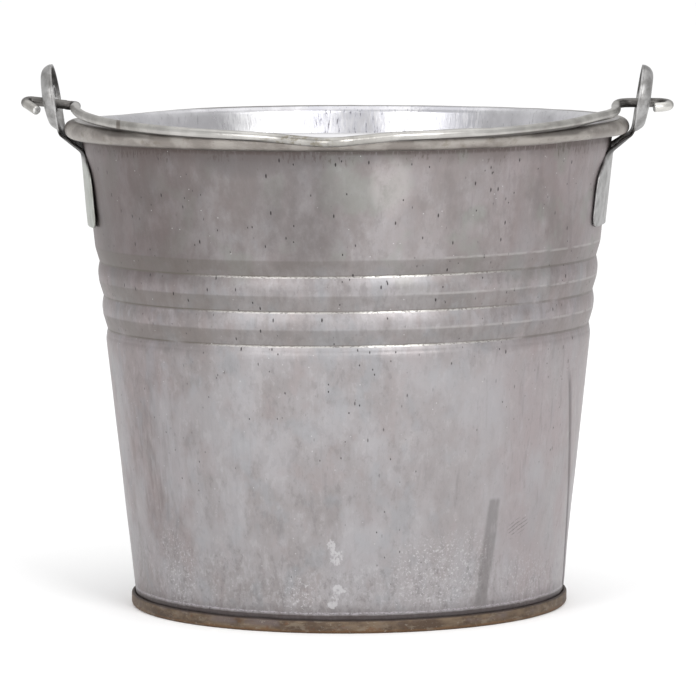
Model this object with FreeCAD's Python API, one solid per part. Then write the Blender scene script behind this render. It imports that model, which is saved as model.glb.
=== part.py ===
"""Small galvanised steel ice bucket with a wire bail, in millimetres.

Origin: centre of the foot ring on the plane it stands on. +Z is up along the bucket's axis, and the
two ears stand at +X and -X. The bail is modelled where it rests, folded down on the front of the rim (-Y).
"""
import math
import os

import FreeCAD
import Part

V = FreeCAD.Vector

# --- Sheet metal and gaps ---
SHEET = 0.45                # wall and bottom sheet
EAR_SHEET = 0.8             # stamped ear sheet
LAYER_GAP = 0.05            # between two layers pressed together
BEND = 0.5                  # centre-line radius of a tight fold

# --- Wall: a straight cone between the foot and the rim ---
WALL_R0 = 68.0              # outer radius of the wall line, carried down to z = 0
WALL_SLOPE = 0.1095         # gain in radius per unit of height
GROOVE_Z = (89.4, 99.9, 110.8)
GROOVE_DEPTH = 0.9
GROOVE_BEND = 1.2           # centre-line radius at the bottom of a groove
CREST_BELOW = 4.0           # from a groove down to the crest of the ridge under it
CREST_BEND = 9.0
SHOULDER_Z = 116.0          # the wall is back on its straight line here

# --- Rolled rim ---
RIM_TOP = 155.1
ROLL_R = 2.85               # outside radius of the roll's section
ROLL_TURN = 315.0           # how far the sheet curls round its wire

# --- Lapped side seam, a low step below the grooves ---
LAP_Z = (6.0, 83.0)
LAP_EDGE_Y = (-6.8, -30.8)  # near edge at those two heights
LAP_WIDTH = 6.0

# --- Double seam that joins the bottom to the wall ---
SEAM_WALL_R = 68.175        # centre line of the wall inside the seam
SEAM_TOP = 4.5
FLOOR_Z = 5.2               # centre line of the raised floor
FLOOR_BEND = 1.2
FOLD_BEND = 0.4             # centre-line radius of the seam's folds
RIM_FOLD_BEND = 0.75        # and of its outer lower one
WALL_HOOK_GAP = 0.15        # above the end of the wall's hook
PAN_HOOK_LOW = 1.7          # lower end of the bottom pan's hook
COMPOUND_Z = (1.25, 1.6)    # sealing compound, low and high

# --- Ears ---
EAR_GAP = 0.1
BASE_LOW = 121.5
BASE_HALF = (26.4, 27.0)    # half width at the bottom and at the shoulder
BASE_SHOULDER_Z = 137.5
BASE_CORNER = 2.0
BASE_ANGLE = 60.0           # degrees of the wall that the blank of the base covers
KNEE_Z = 145.2              # the neck leaves the wall here
NECK_END = (92.2, 151.4)
NECK_HALF = 10.9
NECK_CURVE = ((23.2, 144.0), (14.5, 147.0), (11.7, 148.3))  # half width and height, from the shoulder up
NECK_STRAIGHT_Z = (151.0, 158.0)
NECK_BEND = 2.0
RING_Z = 161.5
RING_OUT_X = 96.4           # outermost face at the ring's centre
RING_LEAN = 7.0             # degrees, top outwards
RING_R = 10.9
RING_HOLE_R = 3.5
RING_BLANK = 9.0            # depth of the channel's blank behind the outermost face
LIP_X = 92.3                # open side of the ring at its centre
LIP_LEAN = 9.0
WEB_LOW = 150.4             # bottom of the flat sheet beside the ring, inside the neck

# --- Bail ---
WIRE_R = 1.5
PIVOT_Z = 160.0
BAIL_DROOP = 3.75           # degrees below level where it rests
BAIL_R = 85.5               # radius of the main arc
BAIL_FORWARD = 6.9          # its centre, ahead of the pivot line
GRIP_REACH = 98.0           # tip of the grip, ahead of the pivot line
GRIP_TIP_R = 12.0
GRIP_FLANK = 26.0           # degrees
GRIP_FOOT_R = 18.0
EYE_BEND_R = 4.0            # where the arc turns out to the ear
HOOK_OUT_X = 102.3          # furthest point of the wire's centre line
HOOKS = {                   # bend radius, turn in degrees, straight end, twist out of the bail's plane
    1: (4.0, 165.0, 1.4, 4.0),
    -1: (2.2, 125.0, 5.2, 12.0),
}


def wall_radius(z):
    """Outer radius of the plain wall line at a height."""
    return WALL_R0 + WALL_SLOPE * z


def line(a, b):
    return Part.LineSegment(a, b).toShape()


def revolve(face, degrees=360.0, start=0.0):
    solid = face.revolve(V(0, 0, 0), V(0, 0, 1), degrees)
    solid.rotate(V(0, 0, 0), V(0, 0, 1), start)
    return solid


def section_point(p):
    """A point given as radius and height, in the XZ plane."""
    return V(p[0], 0, p[1])


def offset_side(points, bends, offset):
    """Edges of one side of a bent sheet: the centre line moved left by offset, its corners rounded."""
    dirs = []
    for a, b in zip(points, points[1:]):
        size = math.hypot(b[0] - a[0], b[1] - a[1])
        dirs.append(((b[0] - a[0]) / size, (b[1] - a[1]) / size))
    normals = [(-d[1], d[0]) for d in dirs]
    here = (points[0][0] + normals[0][0] * offset, points[0][1] + normals[0][1] * offset)
    edges = []
    for i, bend in enumerate(bends):
        (ax, ay), (bx, by) = normals[i], normals[i + 1]
        share = offset / (1 + ax * bx + ay * by)
        corner = (points[i + 1][0] + (ax + bx) * share, points[i + 1][1] + (ay + by) * share)
        turn = math.atan2(dirs[i][0] * dirs[i + 1][1] - dirs[i][1] * dirs[i + 1][0],
                          dirs[i][0] * dirs[i + 1][0] + dirs[i][1] * dirs[i + 1][1])
        side = math.copysign(1, turn)
        radius = bend - offset * side
        reach = radius * math.tan(abs(turn) / 2)
        enter = (corner[0] - dirs[i][0] * reach, corner[1] - dirs[i][1] * reach)
        leave = (corner[0] + dirs[i + 1][0] * reach, corner[1] + dirs[i + 1][1] * reach)
        centre = (enter[0] + ax * side * radius, enter[1] + ay * side * radius)
        out = math.hypot(corner[0] - centre[0], corner[1] - centre[1])
        middle = (centre[0] + (corner[0] - centre[0]) * radius / out,
                  centre[1] + (corner[1] - centre[1]) * radius / out)
        edges.append(line(section_point(here), section_point(enter)))
        edges.append(Part.Arc(section_point(enter), section_point(middle), section_point(leave)).toShape())
        here = leave
    end = (points[-1][0] + normals[-1][0] * offset, points[-1][1] + normals[-1][1] * offset)
    edges.append(line(section_point(here), section_point(end)))
    return edges


def sheet_section(points, bends, thickness):
    """Face of a bent sheet in the XZ plane, from its centre line and the bend radius at each corner."""
    left = offset_side(points, bends, thickness / 2)
    right = offset_side(points, bends, -thickness / 2)
    caps = [line(left[0].Vertexes[0].Point, right[0].Vertexes[0].Point),
            line(left[-1].Vertexes[-1].Point, right[-1].Vertexes[-1].Point)]
    return Part.Face(Part.Wire(Part.__sortEdges__(left + right + caps)))


def roll_centre():
    """Centre of the rim roll: its section touches the inside line of the wall."""
    z = RIM_TOP - ROLL_R
    lean = math.hypot(1, WALL_SLOPE)
    return wall_radius(z) - SHEET * lean + ROLL_R * lean, z


def wall_section():
    """Body hook, straight cone, three grooves, up to where the rim roll starts."""
    half = SHEET / 2 * math.hypot(1, WALL_SLOPE)

    def on_wall(z, depth=0.0):
        return wall_radius(z) - half - depth, z

    hook_r = SEAM_WALL_R + 2 * (SHEET + LAYER_GAP)
    fold_z = 1.5 * SHEET + LAYER_GAP
    join_z = (SEAM_WALL_R + half - WALL_R0) / WALL_SLOPE
    points = [(hook_r, SEAM_TOP - SHEET - WALL_HOOK_GAP), (hook_r, fold_z), (SEAM_WALL_R, fold_z),
              (SEAM_WALL_R, join_z)]
    bends = [FOLD_BEND, FOLD_BEND, BEND]
    for z in GROOVE_Z:
        points += [on_wall(z - CREST_BELOW), on_wall(z, GROOVE_DEPTH)]
        bends += [CREST_BEND, GROOVE_BEND]
    centre, z = roll_centre()
    lean = math.atan(WALL_SLOPE)
    mid = ROLL_R - SHEET / 2
    points += [on_wall(SHOULDER_Z), (centre - mid * math.cos(lean), z + mid * math.sin(lean))]
    bends.append(CREST_BEND)
    return sheet_section(points, bends, SHEET)


def roll_section():
    """The curl of the wall sheet round the rim wire, as part of a ring."""
    centre, z = roll_centre()
    start = 180.0 - math.degrees(math.atan(WALL_SLOPE))

    def arc(radius):
        at = [math.radians(start - ROLL_TURN * k) for k in (0.0, 0.5, 1.0)]
        return Part.Arc(*[V(centre + radius * math.cos(a), 0, z + radius * math.sin(a)) for a in at]).toShape()

    outer, inner = arc(ROLL_R), arc(ROLL_R - SHEET)
    caps = [line(outer.Vertexes[k].Point, inner.Vertexes[k].Point) for k in (0, 1)]
    return Part.Face(Part.Wire(Part.__sortEdges__([outer, inner] + caps)))


def cone_shell(low, high, inner, outer):
    """Slice of a cone that follows the wall, between two distances from the wall line."""
    corners = [V(wall_radius(z) + d, 0, z) for z, d in ((low, inner), (low, outer), (high, outer), (high, inner))]
    return revolve(Part.Face(Part.makePolygon(corners + corners[:1])))


def prism_along_x(edges):
    """Prism on +X from a closed outline in the YZ plane."""
    return Part.Face(Part.Wire(Part.__sortEdges__(edges))).extrude(V(120, 0, 0))


def side_wall():
    wall = revolve(wall_section()).fuse(revolve(roll_section()))
    (low, high), (y_low, y_high) = LAP_Z, LAP_EDGE_Y
    corners = [V(0, y_low, low), V(0, y_low + LAP_WIDTH, low), V(0, y_high + LAP_WIDTH, high), V(0, y_high, high)]
    outline = Part.makePolygon(corners + corners[:1]).Edges
    lap = cone_shell(low, high, -SHEET / 2, SHEET).common(prism_along_x(outline))
    return wall.fuse(lap).removeSplitter()


def rim_wire():
    centre, z = roll_centre()
    return Part.makeTorus(centre, ROLL_R - SHEET - LAYER_GAP, V(0, 0, z), V(0, 0, 1))


def bottom_pan():
    """Raised floor, chuck wall, and the fold that grips the wall's hook."""
    step = SHEET + LAYER_GAP
    chuck_r = SEAM_WALL_R - step
    low = SHEET / 2
    high = SEAM_TOP - SHEET / 2
    points = [(0, FLOOR_Z), (chuck_r, FLOOR_Z), (chuck_r, low), (SEAM_WALL_R + 3 * step, low),
              (SEAM_WALL_R + 3 * step, high), (SEAM_WALL_R + step, high), (SEAM_WALL_R + step, PAN_HOOK_LOW)]
    bends = [FLOOR_BEND, FOLD_BEND, RIM_FOLD_BEND, FOLD_BEND, FOLD_BEND]
    return revolve(sheet_section(points, bends, SHEET))


def seam_compound():
    """Bead of sealing compound in the pocket under the bottom pan's hook."""
    half = SHEET / 2 - LAYER_GAP
    middle = SEAM_WALL_R + SHEET + LAYER_GAP
    low, high = COMPOUND_Z
    disc, core = [Part.makeCylinder(r, high - low, V(0, 0, low)) for r in (middle + half, middle - half)]
    return disc.cut(core)


def ear_outline():
    """Outline of base plate and neck seen along X, as edges in the YZ plane."""
    low_half, high_half = BASE_HALF
    corner = low_half - BASE_CORNER
    mid = BASE_CORNER * (1 - math.sqrt(0.5))
    shoulder, bend, neck = NECK_CURVE
    neck_low, neck_high = NECK_STRAIGHT_Z
    edges = []
    for side in (1, -1):
        def point(y, z):
            return V(0, side * y, z)

        bottom, turn, edge = point(corner, BASE_LOW), point(low_half - mid, BASE_LOW + mid), BASE_LOW + BASE_CORNER
        edges.append(line(point(0, BASE_LOW), bottom))
        edges.append(Part.Arc(bottom, turn, point(low_half, edge)).toShape())
        edges.append(line(point(low_half, edge), point(high_half, BASE_SHOULDER_Z)))
        edges.append(Part.Arc(point(high_half, BASE_SHOULDER_Z), point(*shoulder), point(*bend)).toShape())
        edges.append(Part.Arc(point(*bend), point(*neck), point(NECK_HALF, neck_low)).toShape())
        edges.append(line(point(NECK_HALF, neck_low), point(NECK_HALF, neck_high)))
        edges.append(line(point(NECK_HALF, neck_high), point(0, neck_high)))
    return edges


def ear_plate():
    """Base plate on the wall and the neck bent out under the rim."""
    lean = math.hypot(1, WALL_SLOPE)
    stand_off = (EAR_GAP + EAR_SHEET / 2) * lean
    foot, knee = [(wall_radius(z) + stand_off, z) for z in (BASE_LOW - 1, KNEE_Z)]
    face = sheet_section([foot, knee, NECK_END], [NECK_BEND], EAR_SHEET)
    return revolve(face, BASE_ANGLE, -BASE_ANGLE / 2).common(prism_along_x(ear_outline()))


def ring_frame(shape):
    """Put a shape made about the X axis at x = 0 onto the leaning ring."""
    shape.rotate(V(0, 0, 0), V(0, 1, 0), RING_LEAN)
    shape.translate(V(RING_OUT_X, 0, RING_Z))
    return shape


def lip_side(depth):
    """Slab of the given depth that starts at the lip plane and goes outwards."""
    slab = Part.makeBox(depth, 80, 80, V(0, -40, -40))
    slab.rotate(V(0, 0, 0), V(0, 1, 0), LIP_LEAN)
    slab.translate(V(LIP_X, 0, RING_Z))
    return slab


def ear_ring():
    """Stamped ring: a hollow half-round bead round the hole, open towards the bucket."""
    crown = (RING_R - RING_HOLE_R) / 2
    middle = RING_HOLE_R + crown

    def channel(radius):
        top = [V(-crown, 0, middle + radius), V(-crown + radius, 0, middle), V(-crown, 0, middle - radius)]
        back = [V(-RING_BLANK, 0, middle - radius), V(-RING_BLANK, 0, middle + radius)]
        edges = [Part.Arc(*top).toShape(), line(top[2], back[0]), line(back[0], back[1]), line(back[1], top[0])]
        return Part.Face(Part.Wire(edges)).revolve(V(0, 0, 0), V(1, 0, 0), 360)

    return ring_frame(channel(crown).cut(channel(crown - EAR_SHEET))).common(lip_side(20))


def ear_web():
    """Flat sheet on both sides of the ring's lower half, down to the neck."""
    web = Part.makeBox(20, 2 * NECK_HALF, RING_Z - WEB_LOW, V(85, -NECK_HALF, WEB_LOW)).common(lip_side(EAR_SHEET))
    hole = ring_frame(Part.makeCylinder(RING_R - EAR_SHEET / 2, 30, V(-15, 0, 0), V(1, 0, 0)))
    return web.cut(hole)


def ear(side):
    """One stamped ear at +X, or its mirror image at -X."""
    shape = ear_plate().fuse([ear_ring(), ear_web()]).removeSplitter()
    return shape if side > 0 else shape.mirror(V(0, 0, 0), V(1, 0, 0))


def bail_point(x, ahead, twist=0.0):
    """A point of the bail from its place across and ahead of the pivot line, in the bail's own plane."""
    angle = math.radians(BAIL_DROOP + twist)
    return V(x, -ahead * math.cos(angle), PIVOT_Z - ahead * math.sin(angle))


def hook_edges(side):
    """Straight end, hook and the run through the ear, outside first."""
    radius, turn, end, twist = HOOKS[side]
    start = HOOK_OUT_X - radius

    def place(x, ahead):
        return bail_point(side * x, ahead, twist)

    def on_bend(angle):
        return start + radius * math.sin(angle), radius - radius * math.cos(angle)

    turned = math.radians(turn)
    last = on_bend(turned)
    tip = (last[0] + end * math.cos(turned), last[1] + end * math.sin(turned))
    return [line(place(*tip), place(*last)),
            Part.Arc(place(*last), place(*on_bend(turned / 2)), place(start, 0)).toShape(),
            line(place(start, 0), place(eye_bend()[0], 0))]


def eye_bend():
    """Centre of the bend where the main arc turns out along the pivot line."""
    return math.sqrt((BAIL_R + EYE_BEND_R) ** 2 - (EYE_BEND_R - BAIL_FORWARD) ** 2), EYE_BEND_R


def towards(a, b, distance):
    """Point at a distance from a on the way to b."""
    size = math.hypot(b[0] - a[0], b[1] - a[1])
    return a[0] + (b[0] - a[0]) * distance / size, a[1] + (b[1] - a[1]) * distance / size


def half_bail_edges(side):
    """Eye bend, main arc, foot and flank of the grip, as far as its tip arc."""
    hub = (0.0, BAIL_FORWARD)
    eye = eye_bend()
    arc_start = towards(hub, eye, BAIL_R)
    eye_mid = towards(eye, ((arc_start[0] + eye[0]) / 2, arc_start[1] / 2), EYE_BEND_R)
    flank = math.radians(GRIP_FLANK)
    along, out = (math.cos(flank), -math.sin(flank)), (math.sin(flank), math.cos(flank))
    tip_centre = (0.0, GRIP_REACH - GRIP_TIP_R)
    tip_end = (GRIP_TIP_R * out[0], tip_centre[1] + GRIP_TIP_R * out[1])
    base = (tip_end[0] + GRIP_FOOT_R * out[0], tip_end[1] + GRIP_FOOT_R * out[1] - hub[1])
    dot = base[0] * along[0] + base[1] * along[1]
    run = -dot - math.sqrt(dot ** 2 - base[0] ** 2 - base[1] ** 2 + (BAIL_R + GRIP_FOOT_R) ** 2)
    foot = (base[0] + run * along[0], base[1] + run * along[1] + hub[1])
    flank_end = (foot[0] - GRIP_FOOT_R * out[0], foot[1] - GRIP_FOOT_R * out[1])
    arc_end = towards(hub, foot, BAIL_R)
    foot_mid = towards(foot, ((flank_end[0] + arc_end[0]) / 2, (flank_end[1] + arc_end[1]) / 2), GRIP_FOOT_R)
    arc_mid = towards(hub, ((arc_start[0] + arc_end[0]) / 2, (arc_start[1] + arc_end[1]) / 2), BAIL_R)

    def place(p):
        return bail_point(side * p[0], p[1])

    return [Part.Arc(place((eye[0], 0)), place(eye_mid), place(arc_start)).toShape(),
            Part.Arc(place(arc_start), place(arc_mid), place(arc_end)).toShape(),
            Part.Arc(place(arc_end), place(foot_mid), place(flank_end)).toShape(),
            line(place(flank_end), place(tip_end))], place(tip_end)


def bail():
    """One round wire: hook, eye, arc, grip and back to the other hook."""
    right, right_tip = half_bail_edges(1)
    left, left_tip = half_bail_edges(-1)
    grip = Part.Arc(right_tip, bail_point(0, GRIP_REACH), left_tip).toShape()
    edges = hook_edges(1) + right + [grip] + left + hook_edges(-1)
    path = Part.Wire(Part.__sortEdges__(edges))
    start = path.OrderedEdges[0]
    begin = start.valueAt(start.FirstParameter)
    circle = Part.Wire(Part.makeCircle(WIRE_R, begin, start.tangentAt(start.FirstParameter)))
    return path.makePipeShell([circle], True, False)


def main():
    nodes = {
        "side_wall": side_wall(),
        "rim_wire": rim_wire(),
        "bottom_pan": bottom_pan(),
        "seam_compound": seam_compound(),
        "ear_right": ear(1),
        "ear_left": ear(-1),
        "bail": bail(),
    }
    os.makedirs("parts", exist_ok=True)
    for name, shape in nodes.items():
        solids = shape.Solids
        box = shape.BoundBox
        print(f"{name}: {len(solids)} solid, valid {shape.isValid()}, {shape.Volume:.0f} mm3,"
              f" x {box.XMin:.1f}..{box.XMax:.1f} y {box.YMin:.1f}..{box.YMax:.1f} z {box.ZMin:.1f}..{box.ZMax:.1f}")
        (solids[0] if len(solids) == 1 else shape).exportStep(f"parts/{name}.step")


main()
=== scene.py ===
"""Looks of the galvanised ice bucket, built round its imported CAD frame.

Shapes are worked out in millimetres, in the frame's own axes, and turned into metres when a mesh is made.
Angles round the bucket are counted from +X towards +Y, so the front of the bucket is at 270 degrees.
"""
import math

import bpy
import numpy as np
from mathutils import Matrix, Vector, noise


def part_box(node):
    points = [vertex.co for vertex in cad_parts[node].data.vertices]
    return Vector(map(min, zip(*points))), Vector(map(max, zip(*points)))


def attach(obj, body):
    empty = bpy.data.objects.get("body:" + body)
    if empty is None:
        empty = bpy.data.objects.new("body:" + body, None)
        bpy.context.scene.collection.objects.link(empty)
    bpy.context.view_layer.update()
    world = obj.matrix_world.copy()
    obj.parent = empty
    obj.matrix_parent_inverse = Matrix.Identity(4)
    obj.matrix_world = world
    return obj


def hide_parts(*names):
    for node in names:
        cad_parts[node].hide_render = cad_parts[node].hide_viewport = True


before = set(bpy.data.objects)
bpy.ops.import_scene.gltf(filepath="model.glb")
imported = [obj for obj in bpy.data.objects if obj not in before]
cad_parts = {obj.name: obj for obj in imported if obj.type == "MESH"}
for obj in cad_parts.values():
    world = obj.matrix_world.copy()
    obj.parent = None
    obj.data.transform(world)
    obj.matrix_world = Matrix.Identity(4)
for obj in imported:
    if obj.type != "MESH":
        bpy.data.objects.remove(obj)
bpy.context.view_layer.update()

MM = 0.001
UP = 2                                  # index of the vertical axis in a point


def high_mm(node, axis):
    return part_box(node)[1][axis] / MM


# --- Sizes that the frame gives ---
RIM_TOP = high_mm("side_wall", UP)
RIM_OUT = high_mm("side_wall", 0)
FOOT_OUT = high_mm("bottom_pan", 0)
WIRE_OUT = high_mm("bail", 0)

# --- Sizes that the mesh work shares with the design ---
SHEET = 0.45
GAP = 0.05
WALL_R0 = 68.0
WALL_SLOPE = 0.1095
LEAN = math.hypot(1, WALL_SLOPE)
ROLL_R = 2.85
ROLL_Z = RIM_TOP - ROLL_R
ROLL_AT = RIM_OUT - ROLL_R
GROOVES = (89.4, 99.9, 110.8)
GROOVE_DEPTH = 0.9
CREST_BELOW = 4.0                       # from a crease down to the fullest part of the ridge under it
FLANK = 4.9                             # height of the flat flank above a crease
SHOULDER_POWER, FLANK_POWER = 1.7, 1.15
LOW_BEAD = (87.5, 0.35, 0.07)           # height, half width and rise of a faint bead under the grooves
GROOVE_TILT = 0.6                       # the grooves were rolled out of level, higher on the right
TILT_R = 80.0                           # the wall's radius where that tilt is reached
PIVOT_Z = 160.0
WIRE_R = 1.5

TURNS = 300                             # mesh columns round the bucket

# --- Wear of the wall and rim ---
DENT_R = 80.0                           # radius on which the dents' noise is laid out
BROAD_DENT, BROAD_SIZE = 0.32, 38
SMALL_DENT, SMALL_SIZE = 0.10, 13
PULLED_IN = 0.12                        # the dents lie this much inwards on the whole
RIM_KNOCKS = ((150, 17, 0.9), (62, 30, 0.18))     # degrees, spread and depth of the rim's low places
BEATEN = (-25, 25, 0.34)                # degrees, spread and share of the roll's flattened underside


# ---------------------------------------------------------------- mesh helpers

def linked(name, data):
    """A new object in the scene."""
    thing = bpy.data.objects.new(name, data)
    bpy.context.scene.collection.objects.link(thing)
    return thing


def mesh_object(name, points, faces, materials, face_material=None, smooth=True):
    """A mesh object from points in millimetres."""
    mesh = bpy.data.meshes.new(name)
    mesh.from_pydata((np.asarray(points) * MM).tolist(), [], faces)
    for material in materials:
        mesh.materials.append(material)
    if face_material is not None:
        mesh.polygons.foreach_set("material_index", np.asarray(face_material, dtype=np.int32))
    mesh.polygons.foreach_set("use_smooth", [smooth] * len(mesh.polygons))
    mesh.validate()
    mesh.update()
    return linked(name, mesh)


def grid_faces(rows, columns, wrap_rows=False, wrap_columns=False, first=0):
    """Quads of a grid of points stored row by row, from index first on."""
    faces = []
    for r in range(rows if wrap_rows else rows - 1):
        for c in range(columns if wrap_columns else columns - 1):
            r2, c2 = (r + 1) % rows, (c + 1) % columns
            faces.append((first + r * columns + c, first + r * columns + c2,
                          first + r2 * columns + c2, first + r2 * columns + c))
    return faces


def closed_faces(rows):
    """Outward quads of a grid that closes on itself both ways, with a column for every turn."""
    return [f[::-1] for f in grid_faces(rows, TURNS, wrap_rows=True, wrap_columns=True)]


def even_angles(count):
    return np.linspace(0, 2 * math.pi, count, endpoint=False)


def turned(radius, angle, z):
    """Points from grids of radius, angle and height, row by row."""
    radius, angle, z = np.broadcast_arrays(radius, angle, z)
    return np.stack([radius * np.cos(angle), radius * np.sin(angle), z], 2).reshape(-1, 3)


def rounded(points, radii, step=0.35):
    """Polyline through flat points with each inner corner turned into an arc."""
    out = [np.array(points[0], float)]
    for before, corner, after, radius in zip(points, points[1:], points[2:], radii):
        before, corner, after = [np.array(p, float) for p in (before, corner, after)]
        a = (before - corner) / np.linalg.norm(before - corner)
        b = (after - corner) / np.linalg.norm(after - corner)
        half = math.acos(np.clip(a @ b, -1, 1)) / 2
        bisector = (a + b) / np.linalg.norm(a + b)
        centre = corner + bisector * radius / math.sin(half)
        start, end = corner + a * radius / math.tan(half), corner + b * radius / math.tan(half)
        turn = math.pi - 2 * half
        count = max(3, int(radius * turn / step) + 1)
        u, v = start - centre, end - centre
        for k in range(count + 1):
            t = k / count
            out.append(centre + (u * math.sin((1 - t) * turn) + v * math.sin(t * turn)) / math.sin(turn))
    out.append(np.array(points[-1], float))
    return np.array(out)


def resampled(path, step):
    """The same line with points at even distances, at most step apart."""
    size = np.linalg.norm(np.diff(path, axis=0), axis=1)
    along = np.concatenate([[0], np.cumsum(size)])
    even = np.linspace(0, along[-1], int(math.ceil(along[-1] / step)) + 1)
    return np.stack([np.interp(even, along, path[:, k]) for k in range(path.shape[1])], 1)


def line_normals(path):
    """Unit normals on the left of a flat line."""
    t = np.gradient(path, axis=0)
    t /= np.linalg.norm(t, axis=1)[:, None]
    return np.stack([-t[:, 1], t[:, 0]], 1)


def sheet_loop(path, thickness):
    """Closed outline of a sheet whose middle follows the line."""
    shift = line_normals(path) * thickness / 2
    return np.concatenate([path + shift, (path - shift)[::-1]])


def smooth_step(value, low, high):
    t = np.clip((value - low) / (high - low), 0, 1)
    return t * t * (3 - 2 * t)


def bump(value, centre, width):
    return np.exp(-((value - centre) / width) ** 2)


def wobble(x, y, z, scale, seed=0.0):
    """Smooth noise about zero at points in millimetres."""
    flat = np.stack([np.ravel(a) for a in np.broadcast_arrays(x, y, z)], 1) / scale + seed
    return np.array([noise.noise(Vector(p)) for p in flat]).reshape(np.broadcast(x, y, z).shape)


# ---------------------------------------------------------------- shape of the bucket

def wall_radius(z):
    return WALL_R0 + WALL_SLOPE * z


def groove_dip(z):
    """How far the wall is pressed in: a round shoulder under each crease and a flat flank above it."""
    dip = np.zeros_like(z)
    for crease in GROOVES:
        under = np.clip(1 - (crease - z) / CREST_BELOW, 0, 1) ** SHOULDER_POWER * (z <= crease)
        flank = np.clip(1 - (z - crease) / FLANK, 0, 1) ** FLANK_POWER * (z > crease)
        dip = np.maximum(dip, under + flank)
    bead_z, bead_half, bead_rise = LOW_BEAD
    return GROOVE_DEPTH * dip + bead_rise * bump(z, bead_z, bead_half) * (dip < 0.5)


def groove_lift(angle):
    return GROOVE_TILT * np.cos(angle)


def dents(angle, z):
    """Slight unevenness of the sheet, mostly inwards, fading out at the foot and the rim."""
    x, y = DENT_R * np.cos(angle), DENT_R * np.sin(angle)
    fade = smooth_step(z, 4, 20) * (1 - smooth_step(z, 138, 149))
    broad, small = wobble(x, y, z * 0.7, BROAD_SIZE, 3.1), wobble(x, y, z, SMALL_SIZE, 7.7)
    return fade * (BROAD_DENT * broad + SMALL_DENT * small - PULLED_IN)


def rim_sag(angle):
    """The rolled rim is knocked down a little, most of all at the back left."""
    degrees = np.degrees(angle) % 360
    return -sum(depth * bump(degrees, middle, spread) for middle, spread, depth in RIM_KNOCKS)


def roll_height(angle, z):
    """Height of a point on the roll, whose underside is beaten flatter at the front right."""
    degrees = (np.degrees(angle) + 180) % 360 - 180
    middle, spread, share = BEATEN
    return np.where(z < ROLL_Z, ROLL_Z + (z - ROLL_Z) * (1 - share * bump(degrees, middle, spread)), z)


def wall_heights():
    """Heights of the mesh rows up the wall, close together over the grooves."""
    below, grooves = np.arange(1.0, 83, 2.4), np.arange(83, 117.9, 0.34)
    above, neck = np.arange(118.2, 148, 2.0), np.arange(148.4, 151.6, 0.8)
    return np.concatenate([below, grooves, above, neck])


OUTER_FACE, CURL_INSIDE, CURL_OUTSIDE, INNER_FACE, CURL_TO_INSIDE = range(5)
CURL_DEGREES = 315                      # how far the rim is rolled round its wire
SHEET_SLOT = {OUTER_FACE: 0, CURL_INSIDE: 1, CURL_OUTSIDE: 1, INNER_FACE: 2, CURL_TO_INSIDE: 2}
ROLL_BEAT_OUT, ROLL_BEAT_DOWN = 0.16, 0.10        # depth of the small flats on the roll's side and top


def wall_profile():
    """Outline of the wall sheet as radius, height and which face of the sheet it is."""
    heights = wall_heights()
    curl = math.pi - math.atan(WALL_SLOPE) - np.radians(np.linspace(0, CURL_DEGREES, 56))
    curl_in, curl_out = curl[:-1:3], curl[::-1]
    cone, inner_r = wall_radius(heights), ROLL_R - SHEET
    inside_of_curl = np.stack([ROLL_AT + inner_r * np.cos(curl_in), ROLL_Z + inner_r * np.sin(curl_in),
                               np.full_like(curl_in, CURL_INSIDE)], 1)
    outside_of_curl = np.stack([ROLL_AT + ROLL_R * np.cos(curl_out), ROLL_Z + ROLL_R * np.sin(curl_out),
                                np.where(np.cos(curl_out) < -0.15, CURL_TO_INSIDE, CURL_OUTSIDE)], 1)
    return np.concatenate([
        np.stack([cone, heights, np.full_like(cone, OUTER_FACE)], 1), inside_of_curl, outside_of_curl,
        np.stack([cone - SHEET * LEAN, heights, np.full_like(cone, INNER_FACE)], 1)[::-1],
    ])


def wall_piece(materials):
    """The whole wall sheet: cone, grooves, rolled rim, and the inside face."""
    profile = wall_profile()
    r, z, kind = [column[:, None] * np.ones(TURNS) for column in profile.T]
    a = np.ones(len(profile))[:, None] * even_angles(TURNS)
    on_wall = (kind == OUTER_FACE) | (kind == INNER_FACE)
    on_roll = (kind == CURL_OUTSIDE) | (kind == CURL_TO_INSIDE)
    r = r + np.where(on_wall, dents(a, z) - groove_dip(z - groove_lift(a)), 0)
    beat = wobble(90 * np.cos(a), 90 * np.sin(a), z * 0.4, 11, 1.3)
    r = r - np.where(on_roll & (r > ROLL_AT), ROLL_BEAT_OUT * np.abs(beat), 0)
    z = z - np.where(on_roll & (z > ROLL_Z), ROLL_BEAT_DOWN * np.abs(beat), 0)
    z = np.where(on_wall, z, roll_height(a, z))
    z = z + rim_sag(a) * smooth_step(z, 138, 150)
    points, faces = turned(r, a, z), closed_faces(len(profile))
    row_slots = [SHEET_SLOT[int(k)] for k in profile[:, 2]]
    lap_points, lap_faces = lap_strip(len(points))
    points = np.concatenate([points, lap_points])
    face_slots = np.repeat(row_slots, TURNS).tolist() + [0] * len(lap_faces)
    return mesh_object("wall_sheet", points, faces + lap_faces, materials, face_slots)


LAP_LOW, LAP_HIGH = 6.0, 83.0
LAP_EDGE = (-6.8, -30.8)                # y of the near edge at those heights
LAP_ACROSS = np.array([0.0, 0.0, 0.3, 0.8, 2.0, 4.0, 5.2, 5.7, 6.0, 6.0])
LAP_PROUD = np.array([-0.3, 0.04, 0.16, 0.26, 0.32, 0.30, 0.22, 0.14, 0.04, -0.3])
LAP_ROOT = 0.3                          # how deep the strip's edges reach into the wall
LAP_FADE = 11.0                         # length over which its upper end sinks into the wall


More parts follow.
